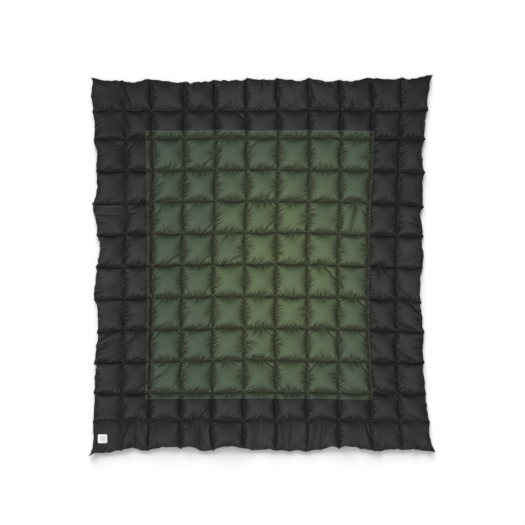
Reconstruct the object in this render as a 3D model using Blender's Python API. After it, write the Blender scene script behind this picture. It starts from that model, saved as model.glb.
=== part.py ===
"""Camp quilt: a sewn-through down quilt, black outside, with a green panel in the middle of its face.

Metres, +Z up. The quilt lies flat and open, face up, its head end towards +Y. The origin is at the
middle of its underside. Every layer is the same grid of puffed boxes, held between other heights:
back shell, down fill, face shell, and the threads and label on top. Two of the crosswise seams are
fold lines, so each layer is made in thirds.
"""

import bmesh
import bpy
from mathutils import Vector

# The grid of boxes, in plan. Rows are listed from the head end.
BORDER_COLUMN = 0.142
CENTRE_COLUMN = 0.1615
COLUMN_WIDTHS = [BORDER_COLUMN] * 2 + [CENTRE_COLUMN] * 7 + [BORDER_COLUMN] * 2
HEAD_ROW = 0.165
BORDER_ROW = 0.144
CENTRE_ROW = 0.164
ROW_LENGTHS = [HEAD_ROW, BORDER_ROW] + [CENTRE_ROW] * 8 + [BORDER_ROW] * 2
ROWS_PER_THIRD = 4

# The outline: sides pulled in at mid-length, corners drawn out into points.
SIDE_PULL = 0.013
HEAD_FLARE = 0.036
FOOT_FLARE = 0.057
FLARE_POWER = 2.5
SIDE_FADE = 4
CORNER_POINT = 0.025
CORNER_FADE = 8

# The green panel ends outside the second seam from each side and from each end.
PANEL_SIDE_LAP = 0.017
PANEL_END_LAP = 0.037

# Heights above the floor, and the width of a puff's sloping rim.
LOFT = 0.042
SEAM_HEIGHT = 0.0155
RIM = 0.050

# Layers and the clearances between them.
SHELL_WALL = 0.0006
GAP = 0.0003
FOLD_GAP = 0.0006
WEB = 0.0003
EDGE_LAP = 0.003

# Threads.
THREAD_HALF_WIDTH = 0.0006
THREAD_HEIGHT = 0.0008
THREAD_END = 0.007
EDGE_THREAD_RADIUS = 0.0005
EDGE_THREAD_INSET = 0.003

# The woven label, near the corner at the left of the foot end.
LABEL_CENTRE = (-0.812, -0.903)
LABEL_SIZE = (0.048, 0.045)
LABEL_WALL = 0.0008
LABEL_STITCH_INSET = 0.003
LABEL_STITCH_WIDTH = 0.0010

# Half the space left between two thirds that lie on each other.
FOLD_CLEARANCE = 0.005

COLOURS = {
    "black_shell": ((0.040, 0.040, 0.042, 1.0), 0.55),
    "green_panel": ((0.125, 0.174, 0.090, 1.0), 0.50),
    "black_back": ((0.036, 0.036, 0.038, 1.0), 0.60),
    "down": ((0.78, 0.76, 0.70, 1.0), 0.95),
    "thread": ((0.030, 0.030, 0.026, 1.0), 0.70),
    "label": ((0.74, 0.76, 0.80, 1.0), 0.80),
    "label_thread": ((0.55, 0.57, 0.60, 1.0), 0.80),
}


def lines_between(widths):
    """The lines between and outside neighbouring widths, centred on zero, ascending."""
    lines = [-sum(widths) / 2]
    for width in widths:
        lines.append(lines[-1] + width)
    return lines


COLUMN_LINES = lines_between(COLUMN_WIDTHS)
ROW_LINES = lines_between(list(reversed(ROW_LENGTHS)))
HALF_WIDTH = COLUMN_LINES[-1]
HALF_LENGTH = ROW_LINES[-1]
FOOT_FOLD = ROW_LINES[ROWS_PER_THIRD]
HEAD_FOLD = ROW_LINES[2 * ROWS_PER_THIRD]
PANEL_HALF_WIDTH = COLUMN_LINES[-3] + PANEL_SIDE_LAP
PANEL_HEAD = ROW_LINES[-3] + PANEL_END_LAP
PANEL_FOOT = ROW_LINES[2] - PANEL_END_LAP

# Heights of each surface at the seams and at the crown of a puff.
FILL_TOP = (SEAM_HEIGHT + WEB / 2, LOFT - SHELL_WALL - GAP)
FILL_UNDER = (SEAM_HEIGHT - WEB / 2, SHELL_WALL + GAP)
FACE_INNER = (FILL_TOP[0] + GAP, LOFT - SHELL_WALL)
FACE_OUTER = (FACE_INNER[0] + SHELL_WALL, LOFT)
BACK_INNER = (FILL_UNDER[0] - GAP, SHELL_WALL)
BACK_OUTER = (BACK_INNER[0] - SHELL_WALL, 0.0)
FACE_SLOPE = (FACE_OUTER[1] - FACE_OUTER[0]) / RIM


def raised(heights, by):
    return (heights[0] + by, heights[1] + by)


def rows_of(third):
    """The row lines of one third, ending short of the fold lines. Thirds run foot, middle, head."""
    first = third * ROWS_PER_THIRD
    lines = ROW_LINES[first:first + ROWS_PER_THIRD + 1]
    if third > 0:
        lines[0] += FOLD_GAP / 2
    if third < 2:
        lines[-1] -= FOLD_GAP / 2
    return lines


def laid_out(x, y, past_side, past_end):
    """A crossing of the grid as the sewn quilt lies, with its outermost lines moved outwards."""
    side = x / HALF_WIDTH
    end = max(-1.0, min(1.0, y / HALF_LENGTH))
    flare = (HEAD_FLARE if end > 0 else FOOT_FLARE) * abs(end) ** FLARE_POWER
    x += (flare - SIDE_PULL) * side * abs(side) ** (SIDE_FADE - 1)
    if abs(side) > 0.999:
        x += past_side if side > 0 else -past_side
    if abs(end) > 0.999:
        reach = CORNER_POINT * abs(side) ** CORNER_FADE + past_end
        y += reach if end > 0 else -reach
    return x, y


def grid_of(columns, rows, past_side, past_end):
    """A flat sheet with one face for each box."""
    bm = bmesh.new()
    across = len(columns) - 1
    along = len(rows) - 1
    bmesh.ops.create_grid(bm, x_segments=across, y_segments=along, size=0.5)
    for vertex in bm.verts:
        column = round((vertex.co.x + 0.5) * across)
        row = round((vertex.co.y + 0.5) * along)
        spot = laid_out(columns[column], rows[row], past_side, past_end)
        vertex.co.x, vertex.co.y = spot
    return bm


def quilted_sheet(rows, beyond=0.0):
    """A sheet whose z is its puff: 0 along the seams, 1 on the crown of each box."""
    bm = grid_of(COLUMN_LINES, rows, beyond, beyond)
    crowns = bm.faces[:]
    bmesh.ops.inset_individual(bm, faces=crowns, thickness=RIM, use_even_offset=True)
    for crown in crowns:
        for vertex in crown.verts:
            vertex.co.z = 1.0
    return bm


def cut(bm, axis, at, sign=0):
    """Cut the sheet by the upright plane axis = at, and keep only its side towards sign, if given."""
    normal = Vector((0, 0, 0))
    normal[axis] = -sign or 1
    point = Vector((0, 0, 0))
    point[axis] = at
    everything = bm.verts[:] + bm.edges[:] + bm.faces[:]
    bmesh.ops.bisect_plane(
        bm, geom=everything, dist=1e-6, plane_co=point, plane_no=normal, clear_outer=sign != 0
    )


def thicken(bm, under, over):
    """Close the sheet into a solid between two puffed surfaces, each given at the seam and crown."""
    made = bmesh.ops.extrude_face_region(bm, geom=bm.faces[:], use_keep_orig=True)
    upper = {item for item in made["geom"] if isinstance(item, bmesh.types.BMVert)}
    for vertex in bm.verts:
        seam, crown = over if vertex in upper else under
        vertex.co.z = seam + (crown - seam) * vertex.co.z
    bmesh.ops.recalc_face_normals(bm, faces=bm.faces[:])


def new_collection():
    quilt = bpy.data.collections.new("camp_quilt")
    bpy.context.scene.collection.children.link(quilt)
    return quilt


def material_for(node, look):
    colour, roughness = COLOURS[look]
    material = bpy.data.materials.new(node)
    material.use_nodes = True
    shader = material.node_tree.nodes["Principled BSDF"]
    shader.inputs["Base Color"].default_value = colour
    shader.inputs["Roughness"].default_value = roughness
    shader.inputs["Metallic"].default_value = 0.0
    material.diffuse_color = colour
    return material


def add_node(name, data, look, body):
    """One named part, on the empty of the body that it moves with."""
    data.materials.append(material_for(name, look))
    node = bpy.data.objects.new(name, data)
    body.users_collection[0].objects.link(node)
    node.parent = body
    node.matrix_parent_inverse = body.matrix_world.inverted()
    return node


def add_sheet(name, bm, look, body):
    mesh = bpy.data.meshes.new(name)
    bm.to_mesh(mesh)
    bm.free()
    return add_node(name, mesh, look, body)


def add_body(name, location, quilt):
    """An empty on a body's fold axis."""
    body = bpy.data.objects.new(name, None)
    body.location = location
    quilt.objects.link(body)
    bpy.context.view_layer.update()
    return body


def add_face(third, label, body):
    """The face of one third: the green panel, the side borders, and the border across an end."""
    rows = rows_of(third)

    def add_piece(name, look, limits):
        bm = quilted_sheet(rows, EDGE_LAP)
        for axis, at, sign in limits:
            cut(bm, axis, at + sign * GAP / 2, sign)
        thicken(bm, FACE_INNER, FACE_OUTER)
        add_sheet(name, bm, look, body)

    panel_end = []
    if label == "head":
        panel_end = [(1, PANEL_HEAD, -1)]
        add_piece("face_border_head", "black_shell", [(1, PANEL_HEAD, 1)])
    if label == "foot":
        panel_end = [(1, PANEL_FOOT, 1)]
        add_piece("face_border_foot", "black_shell", [(1, PANEL_FOOT, -1)])
    panel_sides = [(0, -PANEL_HALF_WIDTH, 1), (0, PANEL_HALF_WIDTH, -1)]
    add_piece(f"face_panel_{label}", "green_panel", panel_sides + panel_end)
    for side, sign in (("left", -1), ("right", 1)):
        limits = [(0, sign * PANEL_HALF_WIDTH, sign)] + panel_end
        add_piece(f"face_border_{side}_{label}", "black_shell", limits)


def add_back(third, label, body):
    bm = quilted_sheet(rows_of(third), EDGE_LAP)
    thicken(bm, BACK_OUTER, BACK_INNER)
    add_sheet(f"back_shell_{label}", bm, "black_back", body)


def add_fill(third, body):
    """The down of each row: its boxes, joined by thin webs through the lengthwise seams."""
    rows = rows_of(third)
    for i in range(ROWS_PER_THIRD):
        bm = quilted_sheet(rows[i:i + 2])
        if i > 0:
            cut(bm, 1, rows[i] + GAP / 2, 1)
        if i < ROWS_PER_THIRD - 1:
            cut(bm, 1, rows[i + 1] - GAP / 2, -1)
        thicken(bm, FILL_UNDER, FILL_TOP)
        number = len(ROW_LENGTHS) - third * ROWS_PER_THIRD - i
        add_sheet(f"down_fill_row_{number:02d}", bm, "down", body)


def add_quilting_thread(third, label, body):
    """The thread in the seams of one third, as a flat lattice. The middle has both fold seams."""
    rows = rows_of(third)
    bm = grid_of(COLUMN_LINES, rows, -THREAD_END, EDGE_LAP)
    boxes = bm.faces[:]
    bmesh.ops.inset_individual(bm, faces=boxes, thickness=THREAD_HALF_WIDTH, use_even_offset=True)
    folds = [rows[0], rows[-1]] if label == "middle" else []
    bare = []
    for edge in bm.edges:
        start, end = edge.verts
        in_fold = any(start.co.y == end.co.y and abs(start.co.y - line) < GAP for line in folds)
        if edge.is_boundary and not in_fold:
            bare.append(edge.link_faces[0])
    bmesh.ops.delete(bm, geom=boxes + bare, context="FACES")
    if label == "head":
        cut(bm, 1, HALF_LENGTH - THREAD_END, -1)
    if label == "foot":
        cut(bm, 1, THREAD_END - HALF_LENGTH, 1)
    bottom = FACE_OUTER[0] + THREAD_HALF_WIDTH * FACE_SLOPE + GAP
    top = bottom + THREAD_HEIGHT
    thicken(bm, (bottom, bottom), (top, top))
    add_sheet(f"quilting_thread_{label}", bm, "thread", body)


def add_edge_thread(name, path, body):
    """The thread that closes the turned edge, along a list of grid crossings."""
    curve = bpy.data.curves.new(name, "CURVE")
    curve.dimensions = "3D"
    curve.bevel_depth = EDGE_THREAD_RADIUS
    curve.bevel_resolution = 1
    curve.use_fill_caps = True
    spline = curve.splines.new("POLY")
    spline.points.add(len(path) - 1)
    height = FACE_OUTER[0] + EDGE_THREAD_INSET * FACE_SLOPE + 1.5 * EDGE_THREAD_RADIUS + GAP
    inset = EDGE_LAP - EDGE_THREAD_INSET
    for point, (x, y) in zip(spline.points, path):
        point.co = (*laid_out(x, y, inset, inset), height, 1)
    add_node(name, curve, "thread", body)


def add_edge_threads(bodies):
    left, right = COLUMN_LINES[0], COLUMN_LINES[-1]
    foot_rows, middle_rows, head_rows = (rows_of(third) for third in range(3))
    across_head = [(x, head_rows[-1]) for x in COLUMN_LINES]
    head_path = [(left, y) for y in head_rows[:-1]] + across_head
    head_path += [(right, y) for y in reversed(head_rows[:-1])]
    add_edge_thread("edge_thread_head", head_path, bodies["head"])
    across_foot = [(x, foot_rows[0]) for x in COLUMN_LINES]
    foot_path = [(left, y) for y in reversed(foot_rows[1:])] + across_foot
    foot_path += [(right, y) for y in foot_rows[1:]]
    add_edge_thread("edge_thread_foot", foot_path, bodies["foot"])
    add_edge_thread("edge_thread_left", [(left, y) for y in middle_rows], bodies["middle"])
    add_edge_thread("edge_thread_right", [(right, y) for y in middle_rows], bodies["middle"])


def label_patch(inset):
    """The part of the foot third's sheet under the label, less an inset all round."""
    bm = quilted_sheet(rows_of(0), EDGE_LAP)
    for axis in (0, 1):
        for sign in (-1, 1):
            cut(bm, axis, LABEL_CENTRE[axis] - sign * (LABEL_SIZE[axis] / 2 - inset), sign)
    return bm


def add_label(body):
    """A blank woven label, and the line of thread that sews it on."""
    under = raised(FACE_OUTER, GAP)
    over = raised(under, LABEL_WALL)
    bm = label_patch(0.0)
    thicken(bm, under, over)
    add_sheet("label_patch", bm, "label", body)

    bm = label_patch(LABEL_STITCH_INSET)
    inner = LABEL_STITCH_INSET + LABEL_STITCH_WIDTH
    reach = [size / 2 - inner for size in LABEL_SIZE]
    for axis in (0, 1):
        for sign in (-1, 1):
            cut(bm, axis, LABEL_CENTRE[axis] + sign * reach[axis])
    middle = []
    for face in bm.faces:
        centre = face.calc_center_median()
        if all(abs(centre[axis] - LABEL_CENTRE[axis]) < reach[axis] for axis in (0, 1)):
            middle.append(face)
    bmesh.ops.delete(bm, geom=middle, context="FACES")
    thicken(bm, raised(over, GAP), raised(over, GAP + THREAD_HEIGHT / 2))
    add_sheet("label_thread", bm, "label_thread", body)


def main():
    for item in list(bpy.data.objects):
        bpy.data.objects.remove(item)
    quilt = new_collection()
    foot_axis = (0, FOOT_FOLD, LOFT + FOLD_CLEARANCE)
    head_axis = (0, HEAD_FOLD, 1.5 * LOFT + 2 * FOLD_CLEARANCE)
    bodies = {
        "foot": add_body("foot_third", foot_axis, quilt),
        "middle": add_body("middle_third", (0, 0, 0), quilt),
        "head": add_body("head_third", head_axis, quilt),
    }
    for third, (label, body) in enumerate(bodies.items()):
        add_back(third, label, body)
        add_fill(third, body)
        add_face(third, label, body)
        add_quilting_thread(third, label, body)
    add_edge_threads(bodies)
    add_label(bodies["foot"])


main()
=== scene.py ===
"""The looks of the camp quilt: its puffed and puckered fabric, stitching, label, floor and light.

The quilt's two fabrics are sewn together along a grid of seams and blown up by the down between
them. Both are one regular grid of points, whose lines run along the seams. A small cloth solver
moves the points between the seams, which stay where the laid-out quilt has them, until the slack
of the fabric has gone into puffs and puckers. The pieces are then cut out of the two grids.
"""

import bpy
import numpy as np
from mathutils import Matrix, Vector


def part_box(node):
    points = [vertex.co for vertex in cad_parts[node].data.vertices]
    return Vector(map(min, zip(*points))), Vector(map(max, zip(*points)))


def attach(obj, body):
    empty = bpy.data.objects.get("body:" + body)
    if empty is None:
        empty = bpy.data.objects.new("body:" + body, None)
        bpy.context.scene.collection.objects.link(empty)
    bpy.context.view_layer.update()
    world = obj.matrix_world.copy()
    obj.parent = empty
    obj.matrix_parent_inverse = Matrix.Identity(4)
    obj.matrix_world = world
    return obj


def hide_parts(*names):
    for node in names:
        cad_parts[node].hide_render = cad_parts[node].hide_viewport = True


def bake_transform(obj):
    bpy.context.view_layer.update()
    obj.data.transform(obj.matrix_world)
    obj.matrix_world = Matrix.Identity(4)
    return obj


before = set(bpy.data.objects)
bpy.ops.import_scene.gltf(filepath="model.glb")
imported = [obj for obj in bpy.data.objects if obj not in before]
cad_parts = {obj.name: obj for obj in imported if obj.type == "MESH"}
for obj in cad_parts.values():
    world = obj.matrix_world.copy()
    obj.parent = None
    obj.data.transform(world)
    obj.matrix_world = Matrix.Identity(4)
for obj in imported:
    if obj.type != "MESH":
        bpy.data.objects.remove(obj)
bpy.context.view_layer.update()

# The grid of boxes, as the CAD has it, from the left and from the foot end.
BORDER_COLUMN = 0.142
CENTRE_COLUMN = 0.1615
COLUMNS = [BORDER_COLUMN] * 2 + [CENTRE_COLUMN] * 7 + [BORDER_COLUMN] * 2
HEAD_ROW = 0.165
BORDER_ROW = 0.144
CENTRE_ROW = 0.164
ROWS = [BORDER_ROW] * 2 + [CENTRE_ROW] * 8 + [BORDER_ROW, HEAD_ROW]
HALF_WIDTH = sum(COLUMNS) / 2
HALF_LENGTH = sum(ROWS) / 2

# The pieces are split at this crosswise seam, and the back at this lengthwise seam too.
SPLIT_ROW = 6
BACK_SPLIT_COLUMN = 6

# How many cells of the grid a box has, if it is wide or if it is narrower than this.
WIDE_CELLS = 48
NARROW_CELLS = 44
NARROW = 0.15

# The fabric at the three finenesses of its grid: how much longer it is than the laid-out quilt,
# how stiff it is against bending, how hard the down pushes and how many steps it settles for.
CELL_SIZES = (4, 2, 1)
SLACKS = (0.052, 0.064, 0.082)
STIFFNESSES = (0.05, 0.10, 0.12)
PRESSURES = (6e-5, 4e-5, 2e-5)
STEPS = (80, 60, 50)

# The steps: how often the threads are pulled to their length in each, how stiff the fabric is aslant,
# how much of its speed it keeps, how much it sags for its pressure, how much the filling differs
# from place to place, and how far the points start off their lines, in cells.
PULLS = 4
ASLANT_STIFFNESS = 0.3
SPEED_KEPT = 0.88
SAG = 0.15
FILL_SPREAD = 0.15
START_JITTER = 0.02

# How high the middles of the boxes start above the seams.
START_RISE = 0.025

# The edge has less to spare than the rest. In the outer boxes, the threads that run out to the edge
# have any to spare only near the seams that run out to it too.
EDGE_SHARE = 0.4
OUTER_REACH = 0.030

# The down pushes harder into the corners of the boxes.
CORNER_PUSH = 8.0
CORNER_REACH = 0.030

# The laid-out quilt is no true rectangle. Its sides pull in at mid-length, its corners are drawn out
# along both of their sides, and its head end slants down at the left. Pairs are for left and right.
SIDE_PULL = (0.004, 0.010)
HEAD_FLARE = (0.021, 0.050)
FOOT_FLARE = (0.020, 0.056)
HEAD_CORNER = (0.014, 0.012)
FOOT_CORNER = (0.032, 0.007)
HEAD_SLANT = 0.013

# Inside it, the lengthwise seams lean at the head end, spread at the foot end (less at the right) and
# draw in at mid-length. A triple is a height and, as shares of the half length or width, where it is
# and how wide it is.
LEAN = (0.0155, 0.65, 0.45)
SPREAD = 0.018
RIGHT_SPREAD = 0.4
WAIST_LEFT = (0.008, -0.72, 0.16)
WAIST_RIGHT = (0.013, 0.65, 0.13)
STRAIGHT_REACH = 0.020

# The crosswise seams arch: up in the middle, down at the two sides, and up again at the head corners.
ARCH = 0.008
ARCH_DROP = (0.018, 0.025)
HEAD_ARCH = 0.030

# Between two seams the edge is drawn in by the puffing of the outer boxes, more here and less there,
# and it comes to a point at each seam. At every pull the hem goes a share of the way back to there.
SCALLOP = 0.009
SCALLOP_SPREAD = 0.45
SCALLOP_POINT = 0.012
HEM_HOLD = 0.5

# The outer boxes reach this much further out, so that the edge is in place on average.
HEAD_REACH = 0.0025
FOOT_REACH = 0.0075
LEFT_REACH = 0.0085
RIGHT_REACH = 0.0035

# The seams lie this high, rise and fall a little, and wander sideways, the more the nearer the edge.
# The hem has a finer wander of its own.
SEAM_HEIGHT = 0.0140
SEAM_ROLL = 0.0010
SEAM_WANDER = 0.0012
EDGE_WANDER = 0.0045
HEM_WANDER = 0.0015

# The puckers run across the seams. They start as waves this far apart, fading away from the seam.
PUCKER_SEED = 0.0015
PUCKER_LEAST = 0.011
PUCKER_MOST = 0.018
PUCKER_REACH = 0.020
PUCKER_STRETCH = 4.0

# Puckers too fine for the solver: sharp creases between rounded ridges, all leaning one way.
# They are clear at the left side and at the foot side of each box, and faint at its two other sides.
# They start a little way from the seam.
CREASE_HEIGHT = 0.0030
CREASE_LEAST = 0.020
CREASE_MOST = 0.033
CREASE_REACH = 0.018
CREASE_START = 0.004
CREASE_LEAN = 0.45
CREASE_CLEAR = 1.6
CREASE_FAINT = 0.3
RIDGE_LEVEL = 0.8

# Half the space between the two fabrics at the hem, and how near the back comes to the floor.
HEM_HALF = 0.0004
FLOOR_CLEARANCE = 0.0003

# The green panel ends this many cells outside the second seam at each side.
PANEL_CELLS = {"foot": 10, "head": 12, "left": 8, "right": 3}

# Its raised edge: half its width, its height, and how far it is sunk into the fabric.
WELT_HALF = 0.0013
WELT_HEIGHT = 0.0011
WELT_SUNK = 0.0002

STITCH_PITCH = 0.0036
STITCH_LENGTH = 0.0028
STITCH_WIDTH = 0.0007
STITCH_HEIGHT = 0.0005
STITCH_LIFT = 0.0002
HEM_STITCH_LIFT = 0.0003

# The fabric under the label is smooth: how far outside the label it is measured, keeps wholly smooth
# and fades to its puckers.
BED_MARGIN = 0.004
BED_RIM = 0.001
BED_FADE = 0.008

# The label's round corners, its frame against its grey field, and the line of its stitches.
LABEL_RADIUS = 0.006
LABEL_LIFT = 0.0003
LABEL_THICKNESS = 0.0007
LABEL_FRAME = 0.66
LABEL_SLOPE = 0.06
LABEL_FIELD_SUNK = 0.00025
LABEL_SEAM_INSET = 0.0028
LABEL_SEAM_RADIUS = 0.004

# Painted light and shade: the green is painted brighter round this point as if lit there, and painted
# shade darkens the black at the corners, less so at the foot.
PAINTED_LIGHT_CENTRE = (0.12, -0.05)
PAINTED_LIGHT_REACH = (0.50, 0.62)
CORNER_SHADE_FALL = 1.5
FOOT_CORNER_SHARE = 0.6

# How far painted shade darkens the fabric's colour: with its slope, in hollows, at crossings, beside the
# seams, and how far that can go. The line of the seam itself gets the darkest painted shade, and the
# panel's outer strips are duller.
SLOPE_SHADE = 1.05
SLOPE_LEAST = 0.08
HOLLOW_SHADE = 0.28
HOLLOW_DEPTH = 0.0012
CROSSING_SHADE = 0.35
SEAM_SIDE_SHADE = 0.13
SEAM_SIDE_REACH = 0.014
MOST_SHADE = 0.68
SEAM_LINE = 0.0026
STRIP_SHADE = 0.30

# Where the camera is, and how much it sees across at the height of the seams.
CAMERA_PLACE = (0.0125, 0.0062, 12.0)
VIEW_WIDTH = 2.709


# ---------------------------------------------------------------- the laid-out quilt

def grid_lines(widths, coarseness):
    """Where the grid's lines are across some boxes, and which of them are seams."""
    edges = np.concatenate([[0], np.cumsum(widths)]) - sum(widths) / 2
    lines = []
    seams = [0]
    for start, end in zip(edges[:-1], edges[1:]):
        cells = (NARROW_CELLS if end - start < NARROW else WIDE_CELLS) // coarseness
        lines.extend(np.linspace(start, end, cells, endpoint=False))
        seams.append(len(lines))
    lines.append(edges[-1])
    return np.array(lines), seams


def waves(x, y, shortest, longest, seed, count=30):
    """Smooth noise of unit strength: plane waves in all directions."""
    random = np.random.default_rng(seed)
    total = np.zeros(x.shape)
    for _ in range(count):
        length = shortest * (longest / shortest) ** random.random()
        angle, phase = 2 * np.pi * random.random(2)
        along = x * np.cos(angle) + y * np.sin(angle)
        total += np.sin(2 * np.pi * along / length + phase)
    return total * np.sqrt(2 / count)


def between(seams):
    """Weights that spread values at the seams over all lines, in straight stretches."""
    lines = np.arange(seams[-1] + 1)
    return np.array([np.interp(lines, seams, one) for one in np.eye(len(seams))])


def hill(at, height, middle, width):
    """A value that is highest in the middle and falls off smoothly over some width."""
    return height * np.exp(-((at - middle) / width) ** 2)


def seam_gaps(lines, seams):
    """How far each line is from the nearest seam, and whether that is the seam after it."""
    offsets = lines[seams] - lines[:, None]
    ahead = np.where(offsets > 0, offsets, np.inf).min(1)
    behind = np.where(offsets < 0, -offsets, np.inf).min(1)
    return np.abs(offsets).min(1), ahead < behind - 1e-6


def bulges(seams):
    """A rounded rise between every two seams, from 0 at each seam to 1 midway."""
    rise = np.zeros(seams[-1] + 1)
    for start, end in zip(seams[:-1], seams[1:]):
        rise[start:end + 1] = np.sin(np.pi * np.linspace(0, 1, end - start + 1))
    return rise


def lay_out(x, y, panel_left):
    """Where the points of the flat quilt lie once it is laid out, before its edge is drawn in."""
    side, end = x / HALF_WIDTH, y / HALF_LENGTH
    flare = np.where(end > 0, np.where(side < 0, *HEAD_FLARE), np.where(side < 0, *FOOT_FLARE))
    pull = np.where(side < 0, *SIDE_PULL)
    laid_x = x + (flare * np.abs(end) ** 3 - pull) * side * np.abs(side) ** 3
    drawn = np.where(end > 0, np.where(side < 0, *HEAD_CORNER), np.where(side < 0, *FOOT_CORNER))
    laid_y = y + drawn * np.sign(end) * np.abs(end * side) ** 12
    laid_y += HEAD_SLANT * np.minimum(side, 0) * np.maximum(end, 0) ** 8

    # The left edge of the green panel stays straight where the seams lean.
    lean = hill(end, *LEAN)
    lean += SPREAD * np.where(side < 0, side, RIGHT_SPREAD * side) * np.minimum(end, 0) ** 2
    laid_x += lean * (1 - side ** 8) * (1 - hill(x, 1, panel_left, STRAIGHT_REACH))
    waist = hill(side, *WAIST_LEFT) - hill(side, *WAIST_RIGHT)
    laid_x += waist * (1 - end ** 2) ** 2
    laid_y += (ARCH - np.where(side < 0, *ARCH_DROP) * side ** 2) * (1 - end ** 2)
    laid_y += HEAD_ARCH * side ** 4 * np.maximum(end, 0) ** 4 * (1 - end ** 8)
    return laid_x, laid_y


class Layout:
    """One grid over the quilt: where its seams lie and how long its threads are."""

    def __init__(self, coarseness, slack):
        across, self.column_seams = grid_lines(COLUMNS, coarseness)
        along, self.row_seams = grid_lines(ROWS, coarseness)
        self.flat_x, self.flat_y = np.meshgrid(across, along)
        self.bulge_across = bulges(self.column_seams)
        self.bulge_along = bulges(self.row_seams)

        gap_x, before_x = seam_gaps(across, self.column_seams)
        gap_y, before_y = seam_gaps(along, self.row_seams)
        self.gap_x, self.gap_y = gap_x, gap_y[:, None]
        self.before_column_seam, self.before_row_seam = before_x, before_y[:, None]
        self.seam_gap = np.minimum(self.gap_x, self.gap_y)
        self.crossing = np.exp(-(self.gap_x ** 2 + self.gap_y ** 2) / CORNER_REACH ** 2)

        panel_left = across[self.column_seams[2]] - PANEL_CELLS["left"] * BORDER_COLUMN / NARROW_CELLS
        laid_x, laid_y = lay_out(self.flat_x, self.flat_y, panel_left)
        self.across, self.along = self.thread_lengths(laid_x, laid_y, slack)
        last_x, last_y = across[self.column_seams[-2]], along[self.row_seams[-2]]
        outer_x = np.clip((np.abs(self.flat_x) - last_x) / (HALF_WIDTH - last_x), 0, 1)
        outer_y = np.clip((np.abs(self.flat_y) - last_y) / (HALF_LENGTH - last_y), 0, 1)
        self.draw_in(laid_x, laid_y, outer_x, outer_y)
        self.wander(laid_x, laid_y, outer_x, outer_y)
        height = SEAM_HEIGHT + SEAM_ROLL * waves(self.flat_x, self.flat_y, 0.08, 0.4, 5)
        self.laid = np.stack([laid_x, laid_y, height]).astype(np.float32)

        self.sewn = np.zeros(self.flat_x.shape, bool)
        self.sewn[:, self.column_seams[1:-1]] = True
        self.sewn[self.row_seams[1:-1]] = True
        self.sewn[np.ix_([0, -1], [0, -1])] = True

    def thread_lengths(self, laid_x, laid_y, slack):
        """How long the fabric is from each point to the next, across and along."""
        spare_across, spare_along = np.full(laid_x.shape, slack), np.full(laid_x.shape, slack)
        for edge in (0, -1):
            spare_across[edge] *= EDGE_SHARE
            spare_along[:, edge] *= EDGE_SHARE
        by_row_seam = hill(self.gap_y, 1, 0, OUTER_REACH)
        by_column_seam = hill(self.gap_x, 1, 0, OUTER_REACH)
        spare_across[:, :self.column_seams[1]] *= by_row_seam
        spare_across[:, self.column_seams[-2] + 1:] *= by_row_seam
        spare_along[:self.row_seams[1]] *= by_column_seam
        spare_along[self.row_seams[-2] + 1:] *= by_column_seam
        across = np.hypot(np.diff(laid_x, axis=1), np.diff(laid_y, axis=1))
        along = np.hypot(np.diff(laid_x, axis=0), np.diff(laid_y, axis=0))
        across *= 1 + (spare_across[:, 1:] + spare_across[:, :-1]) / 2
        along *= 1 + (spare_along[1:] + spare_along[:-1]) / 2
        return across, along

    def draw_in(self, laid_x, laid_y, outer_x, outer_y):
        """Set the outer boxes out, and draw their edge in again between the seams."""
        x, y = self.flat_x, self.flat_y
        uneven = 1 + SCALLOP_SPREAD * waves(x, y, 0.12, 0.4, 41)
        away_x, away_y = (1 - np.exp(-gap / SCALLOP_POINT) for gap in (self.gap_x, self.gap_y))
        laid_x -= SCALLOP * uneven * np.sign(x) * outer_x * away_y
        laid_y -= SCALLOP * uneven * np.sign(y) * outer_y * away_x
        laid_x += np.where(x > 0, RIGHT_REACH, -LEFT_REACH) * outer_x
        laid_y += np.where(y > 0, HEAD_REACH, -FOOT_REACH) * outer_y

    def wander(self, laid_x, laid_y, outer_x, outer_y):
        """Let the seams wander, but only sideways: they keep their length between two crossings."""
        x, y = self.flat_x, self.flat_y
        rim = np.maximum(np.abs(x / HALF_WIDTH), np.abs(y / HALF_LENGTH))
        near_edge = np.clip((rim - 0.8) / 0.2, 0, 1) ** 2
        broad = SEAM_WANDER + (EDGE_WANDER - SEAM_WANDER) * near_edge
        wander_x = broad * waves(x, y, 0.10, 0.5, 3) + SEAM_WANDER * waves(x, y, 0.05, 0.12, 13)
        wander_y = broad * waves(x, y, 0.10, 0.5, 4) + SEAM_WANDER * waves(x, y, 0.05, 0.12, 14)
        laid_x += wander_x[:, self.column_seams] @ between(self.column_seams)
        laid_y += between(self.row_seams).T @ wander_y[self.row_seams]
        laid_x += HEM_WANDER * outer_x ** 4 * waves(x, y, 0.03, 0.10, 51)
        laid_y += HEM_WANDER * outer_y ** 4 * waves(x, y, 0.03, 0.10, 52)


# ---------------------------------------------------------------- the cloth solver
# A cloth is an array of (x, y, z), face or back, row, column.

FACE, BACK = 0, 1
ACROSS, ALONG = 3, 2


def pull_pair(a, b, rest, stiffness):
    """Move the points of a and b towards their rest distance, half of it each."""
    apart = b - a
    length = np.sqrt(apart[0] ** 2 + apart[1] ** 2 + apart[2] ** 2)
    apart *= (0.5 * stiffness) * (1 - rest / length)
    a += apart
    b -= apart


def every(cloth, axis, start, stop, stride):
    """The points on some lines of the grid, evenly spaced along one axis."""
    picks = [slice(None)] * cloth.ndim
    picks[axis] = slice(start, stop, stride)
    return cloth[tuple(picks)]


def pull_threads(cloth, axis, step, rest, stiffness):
    """Bring points that are step lines apart to their rest distance, alternate pairs at a time."""
    size = cloth.shape[axis]
    for start in range(2 * step):
        a = every(cloth, axis, start, size - step, 2 * step)
        b = every(cloth, axis, start + step, size, 2 * step)
        pull_pair(a, b, every(rest, axis - 2, start, size - step, 2 * step), stiffness)


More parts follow.
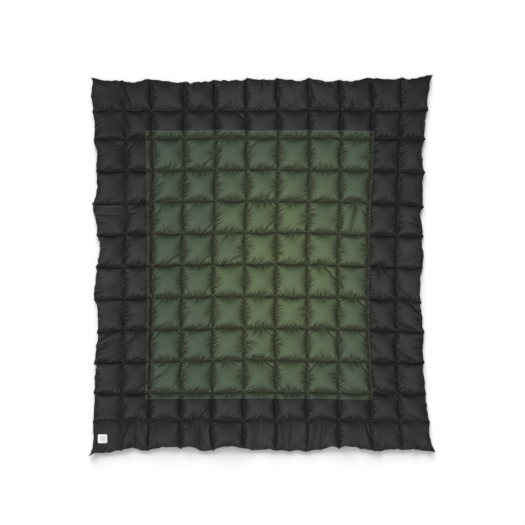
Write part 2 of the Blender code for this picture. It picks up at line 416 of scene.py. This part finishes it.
def pull_diagonals(cloth, rest, stiffness):
    """The same for the two diagonals of every cell."""
    for start in (0, 1):
        upper, lower = cloth[:, :, start + 1::2], cloth[:, :, start:-1:2]
        lengths = rest[start::2]
        pull_pair(lower[..., :-1], upper[..., 1:], lengths, stiffness)
        pull_pair(lower[..., 1:], upper[..., :-1], lengths, stiffness)


def normals_of(sheet):
    """Unit normals of a grid of points, given as (x, y, z) first and row, column last."""
    across = np.gradient(sheet, axis=-1)
    along = np.gradient(sheet, axis=-2)
    normal = np.stack([
        across[1] * along[2] - across[2] * along[1],
        across[2] * along[0] - across[0] * along[2],
        across[0] * along[1] - across[1] * along[0],
    ])
    return normal / (np.sqrt((normal ** 2).sum(0)) + 1e-12)


def edge_lines(sheets, inset):
    """The four lines of points this many cells in from the edge."""
    return (sheets[..., inset, :], sheets[..., -1 - inset, :], sheets[..., inset], sheets[..., -1 - inset])


def hold(cloth, layout, rows, columns):
    """Keep the sewn points in place, the hem closed, and the fabrics apart and above the floor."""
    cloth[:, :, rows, columns] = layout.laid[:, rows, columns][:, None]
    for line in edge_lines(cloth, 1):
        line[:] = line.mean(1, keepdims=True)
        line[2, FACE] += HEM_HALF
        line[2, BACK] -= HEM_HALF
    for line, laid in zip(edge_lines(cloth, 0), edge_lines(layout.laid, 0)):
        line[:] = line.mean(1, keepdims=True)
        line[:2] += HEM_HOLD * (laid[:2, None] - line[:2])
    inner = (slice(2, -2), slice(2, -2))
    middle = layout.laid[2][inner]
    face, back = cloth[2, FACE][inner], cloth[2, BACK][inner]
    np.maximum(face, middle, out=face)
    np.minimum(back, middle, out=back)
    np.maximum(cloth[2], FLOOR_CLEARANCE, out=cloth[2])


def settle(cloth, layout, steps, pressure, stiffness, seed):
    """Blow the cloth up until its threads are tight."""
    across = layout.across.astype(np.float32)
    along = layout.along.astype(np.float32)
    diagonal = np.hypot((across[:-1] + across[1:]) / 2, (along[:, :-1] + along[:, 1:]) / 2)
    across_two = across[:, 1:] + across[:, :-1]
    along_two = along[1:] + along[:-1]
    rows, columns = np.nonzero(layout.sewn)
    random = np.random.default_rng(seed)
    cloth += random.normal(0, START_JITTER * float(across.mean()), cloth.shape).astype(np.float32)
    fill = 1 + FILL_SPREAD * waves(layout.flat_x, layout.flat_y, 0.15, 0.5, 21)
    fill += CORNER_PUSH * layout.crossing
    fill = fill.astype(np.float32)
    speed = np.zeros_like(cloth)
    for _ in range(steps):
        before = cloth.copy()
        push = normals_of(cloth) * (pressure * fill)
        push[:, BACK] *= -1
        cloth += speed + push
        cloth[2] -= SAG * pressure
        for _ in range(PULLS):
            pull_threads(cloth, ACROSS, 1, across, 1.0)
            pull_threads(cloth, ALONG, 1, along, 1.0)
            pull_diagonals(cloth, diagonal, ASLANT_STIFFNESS)
            pull_threads(cloth, ACROSS, 2, across_two, stiffness)
            pull_threads(cloth, ALONG, 2, along_two, stiffness)
            hold(cloth, layout, rows, columns)
        speed = (cloth - before) * SPEED_KEPT


def smooth(cloth, layout):
    """Even out what is smaller than two cells, and leave the seams where they are."""
    middle = cloth[:, :, 1:-1, 1:-1]
    around = (cloth[:, :, 2:, 1:-1] + cloth[:, :, :-2, 1:-1]
              + cloth[:, :, 1:-1, 2:] + cloth[:, :, 1:-1, :-2]) / 4
    cloth[:, :, 1:-1, 1:-1] = (middle + around) / 2
    hold(cloth, layout, *np.nonzero(layout.sewn))


def finer(cloth):
    """The same cloth with a point added between every two."""
    rows, columns = cloth.shape[2:]
    fine = np.zeros(cloth.shape[:2] + (2 * rows - 1, 2 * columns - 1), np.float32)
    fine[:, :, ::2, ::2] = cloth
    fine[:, :, 1::2, ::2] = (cloth[:, :, 1:] + cloth[:, :, :-1]) / 2
    fine[..., 1::2] = (fine[..., :-2:2] + fine[..., 2::2]) / 2
    return fine


def seed_puckers(cloth, layout):
    """Raise faint waves across the seams, which the solver blows up into puckers."""
    x, y = layout.flat_x, layout.flat_y
    lengths = (PUCKER_LEAST, PUCKER_MOST)
    by_row_seam, by_column_seam = (np.exp(-gap / PUCKER_REACH) for gap in (layout.gap_y, layout.gap_x))
    rows = by_row_seam * waves(x, y / PUCKER_STRETCH, *lengths, seed=31, count=60)
    columns = by_column_seam * waves(x / PUCKER_STRETCH, y, *lengths, seed=32, count=60)
    cloth[2, FACE] += PUCKER_SEED * (rows + columns)
    cloth[2, BACK] -= PUCKER_SEED * (rows + columns)


def crease(cloth, layout):
    """Add the puckers that are too fine to settle."""
    x, y = layout.flat_x, layout.flat_y
    upright, level = (x - CREASE_LEAN * y, y / PUCKER_STRETCH), (x / PUCKER_STRETCH, y - CREASE_LEAN * x)
    lengths = (CREASE_LEAST, CREASE_MOST)
    near = []
    for gap, before in ((layout.gap_x, layout.before_column_seam), (layout.gap_y, layout.before_row_seam)):
        strength = np.where(before, CREASE_FAINT, CREASE_CLEAR)
        near.append(strength * (1 - hill(gap, 1, 0, CREASE_START)) * np.exp(-gap / CREASE_REACH))
    by_column_seam, by_row_seam = near
    for side, sign in ((FACE, 1), (BACK, -1)):
        lines_up = np.abs(waves(*upright, *lengths, seed=33 + side, count=60))
        lines_over = np.abs(waves(*level, *lengths, seed=35 + side, count=60))
        patchy = np.clip(1 + 0.5 * waves(x, y, 0.05, 0.2, 37 + side), 0.2, 2)
        ridges = by_row_seam * (lines_up - RIDGE_LEVEL) + by_column_seam * (lines_over - RIDGE_LEVEL)
        cloth[:, side] += sign * CREASE_HEIGHT * patchy * ridges * normals_of(cloth[:, side])
    hold(cloth, layout, *np.nonzero(layout.sewn))


def blown_up():
    """The quilt's two fabrics, settled on ever finer grids, and the finest layout."""
    layout = Layout(CELL_SIZES[0], SLACKS[0])
    puff = layout.bulge_along[:, None] * layout.bulge_across
    cloth = np.repeat(layout.laid[:, None], 2, axis=1)
    cloth[2, FACE] += START_RISE * puff
    cloth[2, BACK] -= (SEAM_HEIGHT - FLOOR_CLEARANCE) * puff
    for level, coarseness in enumerate(CELL_SIZES):
        if level > 0:
            cloth = finer(cloth)
            layout = Layout(coarseness, SLACKS[level])
        if coarseness == 1:
            seed_puckers(cloth, layout)
        settle(cloth, layout, STEPS[level], PRESSURES[level], STIFFNESSES[level], seed=level)
    smooth(cloth, layout)
    crease(cloth, layout)
    return cloth, layout


# ---------------------------------------------------------------- materials

def new_material(name, roughness, sheen=0.0, specular=0.5):
    material = bpy.data.materials.new(name)
    material.use_nodes = True
    shader = material.node_tree.nodes["Principled BSDF"]
    shader.inputs["Roughness"].default_value = roughness
    shader.inputs["Sheen Weight"].default_value = sheen
    shader.inputs["Sheen Roughness"].default_value = 0.4
    shader.inputs["Specular IOR Level"].default_value = specular
    return material, shader


class Nodes:
    """Short names for building a material's node tree."""

    def __init__(self, material):
        self.tree = material.node_tree

    def add(self, kind, links=(), **settings):
        node = self.tree.nodes.new(kind)
        for name, value in settings.items():
            setattr(node, name, value)
        for socket, value in dict(links).items():
            if isinstance(value, bpy.types.NodeSocket):
                self.tree.links.new(value, node.inputs[socket])
            else:
                node.inputs[socket].default_value = value
        return node

    def link(self, output, socket):
        self.tree.links.new(output, socket)

    def attribute(self, name):
        """A number that the mesh holds for each point."""
        return self.add("ShaderNodeAttribute", attribute_name=name).outputs["Fac"]

    def flat(self):
        """Where a point is on the flat fabric, in metres."""
        return self.add("ShaderNodeUVMap", uv_map="flat").outputs["UV"]

    def noise(self, scale, detail=3.0, roughness=0.5):
        links = {"Vector": self.flat(), "Scale": scale, "Detail": detail, "Roughness": roughness}
        return self.add("ShaderNodeTexNoise", links).outputs["Fac"]

    def weave(self, threads_per_metre):
        """Warp and weft: the higher of two sets of fine ribs."""
        ribs = []
        for direction in ("X", "Y"):
            links = {"Vector": self.flat(), "Scale": threads_per_metre / 3.14}
            wave = self.add("ShaderNodeTexWave", links, bands_direction=direction)
            ribs.append(wave.outputs["Fac"])
        return self.maths("MAXIMUM", ribs[0], ribs[1])

    def maths(self, operation, a, b=0.0):
        return self.add("ShaderNodeMath", {0: a, 1: b}, operation=operation).outputs[0]

    def blend(self, factor, a, b):
        mix = self.add("ShaderNodeMix", {0: factor, 6: a, 7: b}, data_type="RGBA")
        return mix.outputs[2]

    def ramp(self, value, low, high):
        """A smooth step from 0 at one value to 1 at another."""
        ends = {"Value": value, "From Min": low, "From Max": high}
        return self.add("ShaderNodeMapRange", ends, interpolation_type="SMOOTHSTEP").outputs[0]

    def bump(self, height, distance, strength=1.0, normal=None):
        links = {"Height": height, "Distance": distance, "Strength": strength}
        if normal is not None:
            links["Normal"] = normal
        return self.add("ShaderNodeBump", links).outputs["Normal"]


def nylon(name, at_place, elsewhere, painted_shade_colour, roughness, sheen, place="centre"):
    """Downproof nylon. Its colour wanders at random, goes over to another colour at one place of the
    quilt, painted light at its centre for the green and painted shade at its corners for the black, and to
    a third, painted shade, where the fabric slopes, creases and meets its seams."""
    material, shader = new_material(name, roughness, sheen, specular=0.2)
    nodes = Nodes(material)
    # Painted light at the centre of the green, painted shade at the corners of the black and the lining.
    base = nodes.blend(nodes.attribute(place), elsewhere, at_place)
    patches = nodes.ramp(nodes.noise(7.0), 0.35, 0.65)
    base = nodes.blend(nodes.maths("MULTIPLY", patches, 0.25), base, elsewhere)
    # Painted shade: the colour goes over to the dark one on slopes, in creases and at seams.
    base = nodes.blend(nodes.attribute("turned"), base, painted_shade_colour)
    nodes.link(base, shader.inputs["Base Color"])
    crinkle = nodes.noise(160.0, 4.0, 0.6)
    normal = nodes.bump(crinkle, 0.0012, 0.35)
    normal = nodes.bump(nodes.weave(2600.0), 0.00006, 0.5, normal)
    nodes.link(normal, shader.inputs["Normal"])
    return material


def cord_material(name, colour, roughness):
    """Twisted thread: slanting plies along the stitch, with painted shade in the grooves between them."""
    material, shader = new_material(name, roughness, 0.02, specular=0.2)
    nodes = Nodes(material)
    plies = nodes.add("ShaderNodeTexWave", {"Vector": nodes.flat(), "Scale": 700.0},
                      bands_direction="DIAGONAL").outputs["Fac"]
    # Painted shade: darker in the grooves between the plies.
    shade = nodes.ramp(plies, 0.0, 1.0)
    painted_dark = tuple(0.6 * part for part in colour[:3]) + (1.0,)
    nodes.link(nodes.blend(shade, painted_dark, colour), shader.inputs["Base Color"])
    nodes.link(nodes.bump(plies, 0.0001, 0.6), shader.inputs["Normal"])
    return material


def label_material():
    """Woven satin tape: a white frame round a pale grey field, with fine ribs."""
    material, shader = new_material("label_weave", 0.6, 0.2)
    nodes = Nodes(material)
    field = nodes.ramp(nodes.attribute("field"), 0.3, 0.7)
    colour = nodes.blend(field, (0.86, 0.87, 0.89, 1), (0.62, 0.65, 0.68, 1))
    nodes.link(colour, shader.inputs["Base Color"])
    nodes.link(nodes.bump(nodes.weave(1400.0), 0.00015, 0.6), shader.inputs["Normal"])
    return material


# ---------------------------------------------------------------- meshes

def new_mesh(name, points, quads, material, flat=None, facts=None):
    """A smooth-shaded mesh object. facts are numbers for each point that its material reads."""
    mesh = bpy.data.meshes.new(name)
    mesh.vertices.add(len(points))
    mesh.vertices.foreach_set("co", np.ascontiguousarray(points, np.float32).ravel())
    mesh.loops.add(quads.size)
    mesh.loops.foreach_set("vertex_index", quads.astype(np.int32).ravel())
    mesh.polygons.add(len(quads))
    mesh.polygons.foreach_set("loop_start", np.arange(0, quads.size, quads.shape[1], dtype=np.int32))
    mesh.update(calc_edges=True)
    mesh.shade_smooth()
    if flat is not None:
        layer = mesh.uv_layers.new(name="flat")
        layer.data.foreach_set("uv", flat[quads.ravel()].astype(np.float32).ravel())
    for fact, values in (facts or {}).items():
        attribute = mesh.attributes.new(fact, "FLOAT", "POINT")
        attribute.data.foreach_set("value", values.astype(np.float32))
    mesh.materials.append(material)
    piece = bpy.data.objects.new(name, mesh)
    bpy.context.scene.collection.objects.link(piece)
    return piece


def grid_quads(rows, columns):
    """The four corners of every cell of a grid of points, by row and column."""
    index = np.arange(rows * columns).reshape(rows, columns)
    return np.stack([index[:-1, :-1], index[:-1, 1:], index[1:, 1:], index[1:, :-1]], axis=-1)


def cut_out(name, cloth, side, layout, cells, facts, material):
    """The part of one fabric that is under the chosen cells of the grid."""
    quads = grid_quads(*layout.flat_x.shape)[cells]
    if side == BACK:
        quads = quads[:, ::-1]
    used, quads = np.unique(quads, return_inverse=True)
    quads = quads.reshape(-1, 4)
    points = cloth[:, side].reshape(3, -1)[:, used].T
    flat = np.stack([layout.flat_x.ravel()[used], layout.flat_y.ravel()[used]], axis=1)
    facts = {fact: values.ravel()[used] for fact, values in facts.items()}
    return new_mesh(name, points, quads, material, flat, facts)


def mean_around(sheet, far):
    """The mean of the four points that are so many lines away from each point."""
    return (np.roll(sheet, far, 0) + np.roll(sheet, -far, 0)
            + np.roll(sheet, far, 1) + np.roll(sheet, -far, 1)) / 4


def fabric_facts(cloth, side, layout):
    """What the fabrics' material reads: how much painted shade a point gets for turning down, lying in a
    crease, at a crossing and beside a seam, and where it is on the quilt.
    """
    normal = normals_of(cloth[:, side])
    slope = np.hypot(normal[0], normal[1])
    slope = (slope + mean_around(slope, 1)) / 2
    height = cloth[2, side] * (1 if side == FACE else -1)
    hollow = np.clip((mean_around(height, 2) - height) / HOLLOW_DEPTH, -1, 1)
    # Painted shade: darkness that stands in for shade on slopes, in hollows, at crossings and beside the
    # seams, darkest on the seam line.
    turned = SLOPE_SHADE * (slope - SLOPE_LEAST) + HOLLOW_SHADE * hollow + CROSSING_SHADE * layout.crossing
    turned += hill(layout.seam_gap, SEAM_SIDE_SHADE, 0, SEAM_SIDE_REACH)
    turned = np.maximum(np.clip(turned, 0, MOST_SHADE), hill(layout.seam_gap, 1, 0, SEAM_LINE))
    x, y = layout.flat_x, layout.flat_y
    # Painted light: the colour is brighter round this point, as under a pool of light.
    from_centre = ((x - PAINTED_LIGHT_CENTRE[0]) / PAINTED_LIGHT_REACH[0], (y - PAINTED_LIGHT_CENTRE[1]) / PAINTED_LIGHT_REACH[1])
    centre = np.exp(-(from_centre[0] ** 2 + from_centre[1] ** 2))
    # Painted shade: darker towards the corners, as if the light falls off there.
    painted_corner_shade = np.abs(x * y / HALF_WIDTH / HALF_LENGTH) ** CORNER_SHADE_FALL
    painted_corner_shade *= np.where(y > 0, 1.0, FOOT_CORNER_SHARE)
    return {"turned": np.clip(turned, 0, 1), "centre": centre, "painted_corner_shade": painted_corner_shade}


def panel_facts(face, layout):
    """The same for the green panel, which is duller in its strips outside the last lengthwise seams."""
    seams = layout.flat_x[0, [layout.column_seams[2], layout.column_seams[-3]]]
    beyond = (layout.flat_x < seams[0]) | (layout.flat_x > seams[1])
    return dict(face, turned=np.clip(face["turned"] + STRIP_SHADE * beyond, 0, 1))


def lengths_along(line):
    """How far along a line of points each of them is."""
    return np.concatenate([[0], np.cumsum(np.linalg.norm(np.diff(line, axis=0), axis=1))])


def at_lengths(line, lengths, at):
    """The points of a line at some lengths along it."""
    return np.stack([np.interp(at, lengths, line[:, k]) for k in range(3)], axis=1)


def stitches(name, lines, ups, material):
    """Lock stitches along some lines of points, each a little ridge lying on the fabric."""
    corners = np.array([
        [-1, -1, 0], [1, -1, 0], [1, 1, 0], [-1, 1, 0], [-0.6, 0, 1], [0.6, 0, 1],
    ]) * [STITCH_LENGTH / 2, STITCH_WIDTH / 2, STITCH_HEIGHT]
    faces = np.array([
        [0, 1, 5], [0, 5, 4], [2, 3, 4], [2, 4, 5], [1, 2, 5], [3, 0, 4], [0, 3, 2], [0, 2, 1],
    ])
    points, triangles, flats = [], [], []
    count = 0
    for line, up in zip(lines, ups):
        lengths = lengths_along(line)
        at = np.arange(STITCH_PITCH / 2, lengths[-1], STITCH_PITCH)
        forward = at_lengths(line, lengths, at + 0.001) - at_lengths(line, lengths, at - 0.001)
        forward /= np.linalg.norm(forward, axis=1, keepdims=True) + 1e-12
        upward = at_lengths(up, lengths, at)
        sideways = np.cross(upward, forward)
        block = (at_lengths(line, lengths, at)[:, None] + corners[:, :1] * forward[:, None]
                 + corners[:, 1:2] * sideways[:, None] + corners[:, 2:] * upward[:, None])
        flat = np.broadcast_arrays(at[:, None] + corners[:, 0], corners[:, 1])
        points.append(block.reshape(-1, 3))
        firsts = count + len(corners) * np.arange(len(at))
        triangles.append((faces + firsts[:, None, None]).reshape(-1, 3))
        flats.append(np.stack(flat, axis=2).reshape(-1, 2))
        count += len(corners) * len(at)
    points, triangles, flats = (np.concatenate(parts) for parts in (points, triangles, flats))
    return new_mesh(name, points, triangles, material, flats)


def sweep(name, line, up, profile, material, facts):
    """A narrow strip along a line of points. profile is its section as (sideways, up)."""
    forward = np.gradient(line, axis=0)
    forward /= np.linalg.norm(forward, axis=1, keepdims=True) + 1e-12
    sideways = np.cross(up, forward)
    strip = line[:, None] + profile[None, :, :1] * sideways[:, None] + profile[None, :, 1:] * up[:, None]
    quads = grid_quads(*strip.shape[:2]).reshape(-1, 4)
    flat = np.stack(np.broadcast_arrays(lengths_along(line)[:, None], profile[None, :, 0]), axis=-1)
    facts = {fact: np.repeat(values, len(profile)) for fact, values in facts.items()}
    return new_mesh(name, strip.reshape(-1, 3), quads, material, flat.reshape(-1, 2), facts)


# ---------------------------------------------------------------- the quilt

def panel_span(layout):
    """First and last row and column line of the green panel."""
    rows, columns = layout.row_seams, layout.column_seams
    return (rows[2] - PANEL_CELLS["foot"], rows[-3] + PANEL_CELLS["head"],
            columns[2] - PANEL_CELLS["left"], columns[-3] + PANEL_CELLS["right"])


def bend(piece):
    """Bake the placement of a piece of the head or foot half into its mesh."""
    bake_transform(piece)


def fabric_piece(name, cloth, side, layout, rows, columns, facts, material, half):
    """A piece of fabric between some lines of the grid. A piece of a half is baked where it lies, a piece
    of a third rides on that third.
    """
    cells = np.zeros(np.array(layout.flat_x.shape) - 1, bool)
    cells[rows[0]:rows[1], columns[0]:columns[1]] = True
    piece = cut_out(name, cloth, side, layout, cells, facts, material)
    if half in ("head", "foot"):
        bend(piece)
    else:
        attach(piece, half)
    return piece


def make_fabrics(cloth, layout, face, panel_face):
    """The border, the green panel and the lining, each in a head half and a foot half."""
    # Each nylon: its colour at a place of painted light or shade, its colour elsewhere, and a dark colour
    # for painted shade.
    black = nylon("black_nylon", (0.0055, 0.0055, 0.0059, 1), (0.0268, 0.0268, 0.0275, 1),
                  (0.0100, 0.0100, 0.0098, 1), 0.55, 0.04, "painted_corner_shade")
    green = nylon("green_nylon", (0.126, 0.170, 0.076, 1), (0.0465, 0.0735, 0.0545, 1),
                  (0.0285, 0.0235, 0.0155, 1), 0.50, 0.04)
    lining = nylon("lining_nylon", (0.014, 0.014, 0.0145, 1), (0.026, 0.026, 0.027, 1),
                   (0.011, 0.011, 0.011, 1), 0.55, 0.04, "painted_corner_shade")
    back = fabric_facts(cloth, BACK, layout)
    foot, head, left, right = panel_span(layout)
    end, far_side = layout.row_seams[-1], layout.column_seams[-1]
    split, middle = layout.row_seams[SPLIT_ROW], layout.column_seams[BACK_SPLIT_COLUMN]
    halves = {"head": (split, head), "foot": (foot, split)}
    back_halves = {"head": (split, end), "foot": (0, split)}
    fills = {"head": range(1, 7), "foot": range(7, 13)}
    ends = {"head": (head, end), "foot": (0, foot)}
    for half in ("head", "foot"):
        strip = fabric_piece(f"border_{half}", cloth, FACE, layout, ends[half], (0, far_side), face,
                             black, f"{half}_third")
        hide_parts(f"face_border_{half}")
        for side, columns in (("left", (0, left)), ("right", (right, far_side))):
            strip = fabric_piece(f"border_{side}_{half}", cloth, FACE, layout, halves[half], columns, face,
                                 black, half)
            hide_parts(f"face_border_{side}_{half}")
            if half == "head":
                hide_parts(f"face_border_{side}_middle")
        panel = fabric_piece(f"panel_{half}", cloth, FACE, layout, halves[half], (left, right), panel_face,
                             green, half)
        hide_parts(f"face_panel_{half}", *(f"down_fill_row_{row:02d}" for row in fills[half]))
        for side, columns in (("left", (0, middle)), ("right", (middle, far_side))):
            shell = fabric_piece(f"back_{side}_{half}", cloth, BACK, layout, back_halves[half], columns,
                                 back, lining, half)
            if side == "left":
                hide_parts(f"back_shell_{half}")
            elif half == "head":
                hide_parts("back_shell_middle")
        if half == "head":
            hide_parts("face_panel_middle")


def seam_lines(cloth, side, layout, half):
    """The seams of one half as lines of points on one fabric."""
    split = layout.row_seams[SPLIT_ROW]
    sheet = cloth[:, side]
    span = slice(split, None) if half == "head" else slice(None, split + 1)
    lines = [sheet[:, span, column].T for column in layout.column_seams[1:-1]]
    rows = [row for row in layout.row_seams[1:-1] if (row >= split) == (half == "head")]
    return lines + [sheet[:, row].T for row in rows]


def make_quilting(cloth, layout):
    """The lock stitches of the seams, which show on both fabrics."""
    thread = cord_material("quilting_thread", (0.0120, 0.0115, 0.0085, 1), 0.75)
    for half in ("head", "foot"):
        for side, label, sign in ((FACE, "face", 1), (BACK, "back", -1)):
            lines = seam_lines(cloth, side, layout, half)
            ups = [np.tile([0.0, 0.0, sign], (len(line), 1)) for line in lines]
            lifted = [line + STITCH_LIFT * up for line, up in zip(lines, ups)]
            piece = stitches(f"quilting_{label}_{half}", lifted, ups, thread)
            bend(piece)
            if side == FACE:
                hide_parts(f"quilting_thread_{half}")
                if half == "head":
                    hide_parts("quilting_thread_middle")


def hem_path(grid, inset, half, split):
    """The way round one half of the quilt, this many lines in from the edge."""
    if half == "head":
        up = grid[:, split:-inset or None, inset]
        over = grid[:, -1 - inset, inset:-inset or None]
        down = grid[:, split:-inset or None, -1 - inset][:, ::-1]
    else:
        up = grid[:, inset:split + 1, inset][:, ::-1]
        over = grid[:, inset, inset:-inset or None]
        down = grid[:, inset:split + 1, -1 - inset]
    return np.concatenate([up, over[:, 1:], down[:, 1:]], axis=1).T


def make_hem(cloth, layout):
    """The stitches that close the edge."""
    thread = cord_material("hem_thread", (0.019, 0.019, 0.019, 1), 0.75)
    split = layout.row_seams[SPLIT_ROW]
    for half in ("head", "foot"):
        for side, label, sign in ((FACE, "face", 1), (BACK, "back", -1)):
            sheet = cloth[:, side]
            normal = normals_of(sheet) * sign
            outer, inner = (hem_path(sheet, inset, half, split) for inset in (0, 1))
            up = hem_path(normal, 1, half, split)
            beside = np.linspace(0, len(outer) - 1, len(inner)).round().astype(int)
            line = 0.3 * outer[beside] + 0.7 * inner + HEM_STITCH_LIFT * up
            piece = stitches(f"hem_stitches_{label}_{half}", [line], [up], thread)
            bend(piece)
            if side == FACE:
                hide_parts(f"edge_thread_{half}")
                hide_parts("edge_thread_left" if half == "head" else "edge_thread_right")


def make_panel_edge(cloth, layout, turned):
    """The raised edge of the green panel, where it is sewn onto the border. Its nylon is a lighter copy of
    the green, a painted highlight along the fold, and it takes the panel's painted shade.
    """
    # Painted highlight: lighter copies of the green colours stand in for light caught on the raised fold.
    welt = nylon("highlighted_panel_edge_nylon", (0.127, 0.156, 0.110, 1), (0.098, 0.122, 0.092, 1),
                 (0.085, 0.088, 0.074, 1), 0.45, 0.3)
    foot, head, left, right = panel_span(layout)
    split = layout.row_seams[SPLIT_ROW]
    sheet = cloth[:, FACE]
    normal = normals_of(sheet)
    arch = np.linspace(0, np.pi, 7)
    profile = np.stack([-WELT_HALF * np.cos(arch), WELT_HEIGHT * np.sin(arch) - WELT_SUNK], axis=1)
    for half, far, step in (("head", head, 1), ("foot", foot, -1)):
        paths = []
        for grid in (sheet, normal, turned[None]):
            up = grid[:, split:far + step:step, left]
            over = grid[:, far, left:right + 1]
            down = grid[:, split:far + step:step, right][:, ::-1]
            paths.append(np.concatenate([up, over[:, 1:], down[:, 1:]], axis=1).T)
        line, up, painted_dark = paths
        piece = sweep(f"panel_edge_{half}", line, up, profile, welt, {"turned": painted_dark[:, 0]})
        bend(piece)


def rounded(across, along, half_size, radius):
    """Points of a square grid moved so that the square has round corners."""
    x, y = across * half_size[0], along * half_size[1]
    dx = np.maximum(np.abs(x) - (half_size[0] - radius), 0)
    dy = np.maximum(np.abs(y) - (half_size[1] - radius), 0)
    scale = np.maximum(dx, dy) / np.maximum(np.hypot(dx, dy), 1e-9)
    scale = np.where((dx > 0) & (dy > 0), scale, 1)
    x = np.sign(x) * (np.abs(x) - dx + dx * scale)
    y = np.sign(y) * (np.abs(y) - dy + dy * scale)
    return x, y


class LabelBed:
    """The smooth patch of the face that the label is sewn to."""

    def __init__(self, cloth):
        low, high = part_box("label_patch")
        self.centre = np.array([(low[k] + high[k]) / 2 for k in (0, 1)])
        self.half = np.array([(high[k] - low[k]) / 2 for k in (0, 1)])
        x, y, z = cloth[:, FACE]
        u, v = (x - self.centre[0]), (y - self.centre[1])
        outside = np.maximum(np.abs(u) - self.half[0], np.abs(v) - self.half[1])
        near = outside < BED_MARGIN
        self.fit = np.linalg.lstsq(self.terms(u[near], v[near]), z[near], rcond=None)[0]
        weight = np.clip(1 - (outside - BED_RIM) / BED_FADE, 0, 1)
        weight = weight * weight * (3 - 2 * weight)
        z += weight * (self.height(u, v) - z)

    @staticmethod
    def terms(u, v):
        """The terms of the curved surface that fits the fabric there."""
        return np.stack([np.ones_like(u), u, v, u * u, u * v, v * v], axis=-1)

    def height(self, u, v):
        return self.terms(u, v) @ self.fit


def make_label(bed):
    """A blank woven label with a raised frame, stitched down near its edge."""
    steps = 41
    across, along = np.meshgrid(np.linspace(-1, 1, steps), np.linspace(-1, 1, steps))
    x, y = rounded(across, along, bed.half, LABEL_RADIUS)
    rim = np.maximum(np.abs(across), np.abs(along))
    field = np.clip((LABEL_FRAME - rim) / LABEL_SLOPE, 0, 1)
    edge = np.clip((1 - rim) / LABEL_SLOPE, 0, 1)
    z = bed.height(x, y) + LABEL_LIFT + LABEL_THICKNESS * np.sqrt(edge) - LABEL_FIELD_SUNK * field
    points = np.stack([x + bed.centre[0], y + bed.centre[1], z], axis=-1).reshape(-1, 3)
    quads = grid_quads(steps, steps).reshape(-1, 4)
    flat = np.stack([x, y], axis=-1).reshape(-1, 2)
    label = new_mesh("woven_label", points, quads, label_material(), flat, {"field": field.ravel()})
    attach(label, "foot_third")
    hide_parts("label_patch")

    turn = np.linspace(-1, 1, 30, endpoint=False)
    one = np.ones_like(turn)
    ring = np.concatenate([np.stack([turn, -one], 1), np.stack([one, turn], 1),
                           np.stack([-turn, one], 1), np.stack([-one, -turn], 1)])
    ring = np.concatenate([ring, ring[:1]])
    x, y = rounded(ring[:, 0], ring[:, 1], bed.half - LABEL_SEAM_INSET, LABEL_SEAM_RADIUS)
    z = bed.height(x, y) + LABEL_LIFT + LABEL_THICKNESS
    line = np.stack([x + bed.centre[0], y + bed.centre[1], z], axis=1)
    thread = cord_material("label_thread", (0.60, 0.62, 0.64, 1), 0.7)
    sewn = stitches("label_stitches", [line], [np.tile([0.0, 0.0, 1.0], (len(line), 1))], thread)
    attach(sewn, "foot_third")
    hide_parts("label_thread")
    return label, sewn


# ---------------------------------------------------------------- floor, light and camera

def make_stage(pale_pieces):
    """A white floor in a wide soft light. The key lights only it and the label, the fill only the rest."""
    bpy.ops.mesh.primitive_plane_add(size=60)
    floor = bpy.context.object
    floor.name = "floor"
    material, shader = new_material("floor_paint", 0.9, specular=0.1)
    shader.inputs["Base Color"].default_value = (0.95, 0.95, 0.95, 1)
    floor.data.materials.append(material)

    world = bpy.data.worlds.new("pale_room")
    bpy.context.scene.world = world
    world.use_nodes = True
    background = world.node_tree.nodes["Background"]
    background.inputs["Color"].default_value = (1.0, 1.0, 1.0, 1)
    background.inputs["Strength"].default_value = 0.30

    lamps = {}
    suns = (
        ("key", (-0.12, 0.92, 0.40), 40, 4.39),
        ("fill", (-0.40, -0.44, 1), 50, 1.80),
        ("top", (0, 0, 1), 80, 0.72),
    )
    for name, towards, spread, strength in suns:
        light = bpy.data.lights.new(name, "SUN")
        light.angle = np.radians(spread)
        light.energy = strength
        lamps[name] = bpy.data.objects.new(name, light)
        lamps[name].rotation_euler = Vector(towards).to_track_quat("Z", "Y").to_euler()
        bpy.context.scene.collection.objects.link(lamps[name])
    for lamp, state in (("key", "INCLUDE"), ("fill", "EXCLUDE")):
        pale = bpy.data.collections.new(f"pale_and_the_{lamp}")
        lamps[lamp].light_linking.receiver_collection = pale
        for piece in (floor, *pale_pieces):
            pale.objects.link(piece)
        for entry in pale.collection_objects:
            entry.light_linking.link_state = state


def make_camera():
    """Straight above the quilt, its head end at the top of the picture."""
    data = bpy.data.cameras.new("camera")
    camera = bpy.data.objects.new("camera", data)
    data.sensor_width = 36.0
    data.lens = data.sensor_width * (CAMERA_PLACE[2] - SEAM_HEIGHT) / VIEW_WIDTH
    data.clip_end = 100.0
    camera.location = CAMERA_PLACE
    bpy.context.scene.collection.objects.link(camera)
    bpy.context.scene.camera = camera
    bpy.context.scene.view_settings.view_transform = "Standard"


cloth, layout = blown_up()
bed = LabelBed(cloth)
face = fabric_facts(cloth, FACE, layout)
panel_face = panel_facts(face, layout)
make_fabrics(cloth, layout, face, panel_face)
make_quilting(cloth, layout)
make_hem(cloth, layout)
make_panel_edge(cloth, layout, panel_face["turned"])
label, label_seam = make_label(bed)
make_stage((label, label_seam))
make_camera()
